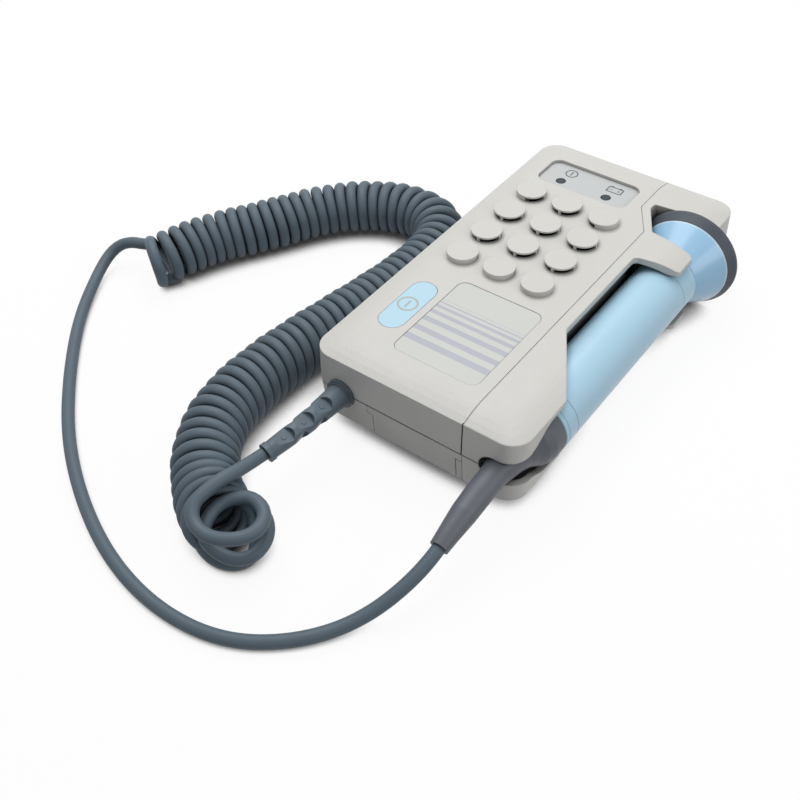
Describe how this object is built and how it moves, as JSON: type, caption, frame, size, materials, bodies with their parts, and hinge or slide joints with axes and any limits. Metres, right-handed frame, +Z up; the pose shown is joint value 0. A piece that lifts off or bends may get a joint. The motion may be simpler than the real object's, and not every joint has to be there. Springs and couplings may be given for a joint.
{
  "type": "fetal doppler monitor",
  "caption": "Pocket fetal doppler with a crowned housing, loudspeaker grille of raised caps, sliding battery door, side-docked ultrasound probe and a curly cord.",
  "frame": {"origin": "middle of the unit's footprint, on the surface it lies on", "axes": "+Y from the cord end to the display end, +X towards the probe, +Z up out of the top face"},
  "size_m": [0.1952, 0.2241, 0.035],
  "materials": {
    "housing_grey": "fine satin moulding",
    "door_grey": "fine satin moulding",
    "clip_grey": "satin moulding",
    "label_print": "printed film",
    "display_film": "smooth printed film",
    "led_dark": "smoked lens, unlit",
    "button_blue": "satin",
    "switch_black": "moulded",
    "gasket_black": "foam",
    "frame_steel": "pressed",
    "cone_black": "coated paper",
    "magnet_steel": "plated",
    "board_green": "solder mask",
    "screw_steel": "zinc",
    "battery_metal": "printed jacket",
    "contact_black": "moulded",
    "wheel_dark": "knurled",
    "pot_grey": "moulded",
    "socket_black": "moulded",
    "probe_blue": "satin gloss",
    "ring_slate": "satin",
    "face_grey": "smooth",
    "crystal_ceramic": "ceramic",
    "backing_foam": "potting",
    "cord_slate": "satin sheath"
  },
  "bodies": {
    "unit": {"upper_shell": "housing_grey", "lower_shell": "housing_grey", "holder_upper": "housing_grey", "holder_lower": "housing_grey", "label_plate": "label_print", "display_panel": "display_film", "led_power": "led_dark", "led_battery": "led_dark", "button_switch": "switch_black", "loudspeaker_gasket": "gasket_black", "loudspeaker_frame": "frame_steel", "loudspeaker_cone": "cone_black", "loudspeaker_magnet": "magnet_steel", "circuit_board": "board_green", "case_screws": "screw_steel", "battery": "battery_metal", "battery_contacts": "contact_black", "volume_pot": "pot_grey", "headphone_socket": "socket_black", "pocket_clip": "clip_grey", "clip_screws": "screw_steel", "unit_strain_relief": "cord_slate", "cord_unit_end": "cord_slate", "curly_coil": "cord_slate", "cord_probe_end": "cord_slate"},
    "power_button": {"power_button": "button_blue"},
    "battery_door": {"battery_door": "door_grey"},
    "volume_wheel": {"volume_wheel": "wheel_dark"},
    "probe": {"probe_tail": "probe_blue", "probe_tube": "probe_blue", "probe_neck": "probe_blue", "probe_cone": "probe_blue", "probe_head_ring": "ring_slate", "probe_face": "face_grey", "probe_crystals": "crystal_ceramic", "probe_board": "board_green", "probe_board_carriers": "backing_foam", "probe_boot": "cord_slate", "crystal_backing": "backing_foam"}
  },
  "joints": [
    {"name": "probe_slide", "type": "slide", "parent": "unit", "child": "probe", "axis": [1, 0, 0], "range_m": [0, 0.045]},
    {"name": "power_button_press", "type": "slide", "parent": "unit", "child": "power_button", "axis": [0, 0, -1], "range_m": [0, 0.0004], "stiffness_N_per_m": 400, "springref_m": -0.002},
    {"name": "battery_door_slide", "type": "slide", "parent": "unit", "child": "battery_door", "axis": [0, -1, 0], "range_m": [0, 0.012]},
    {"name": "volume_wheel_turn", "type": "hinge", "parent": "unit", "child": "volume_wheel", "pos_m": [-0.03485, 0.037, 0.0213], "axis": [0, 0, 1], "range_deg": [-135, 135]}
  ]
}
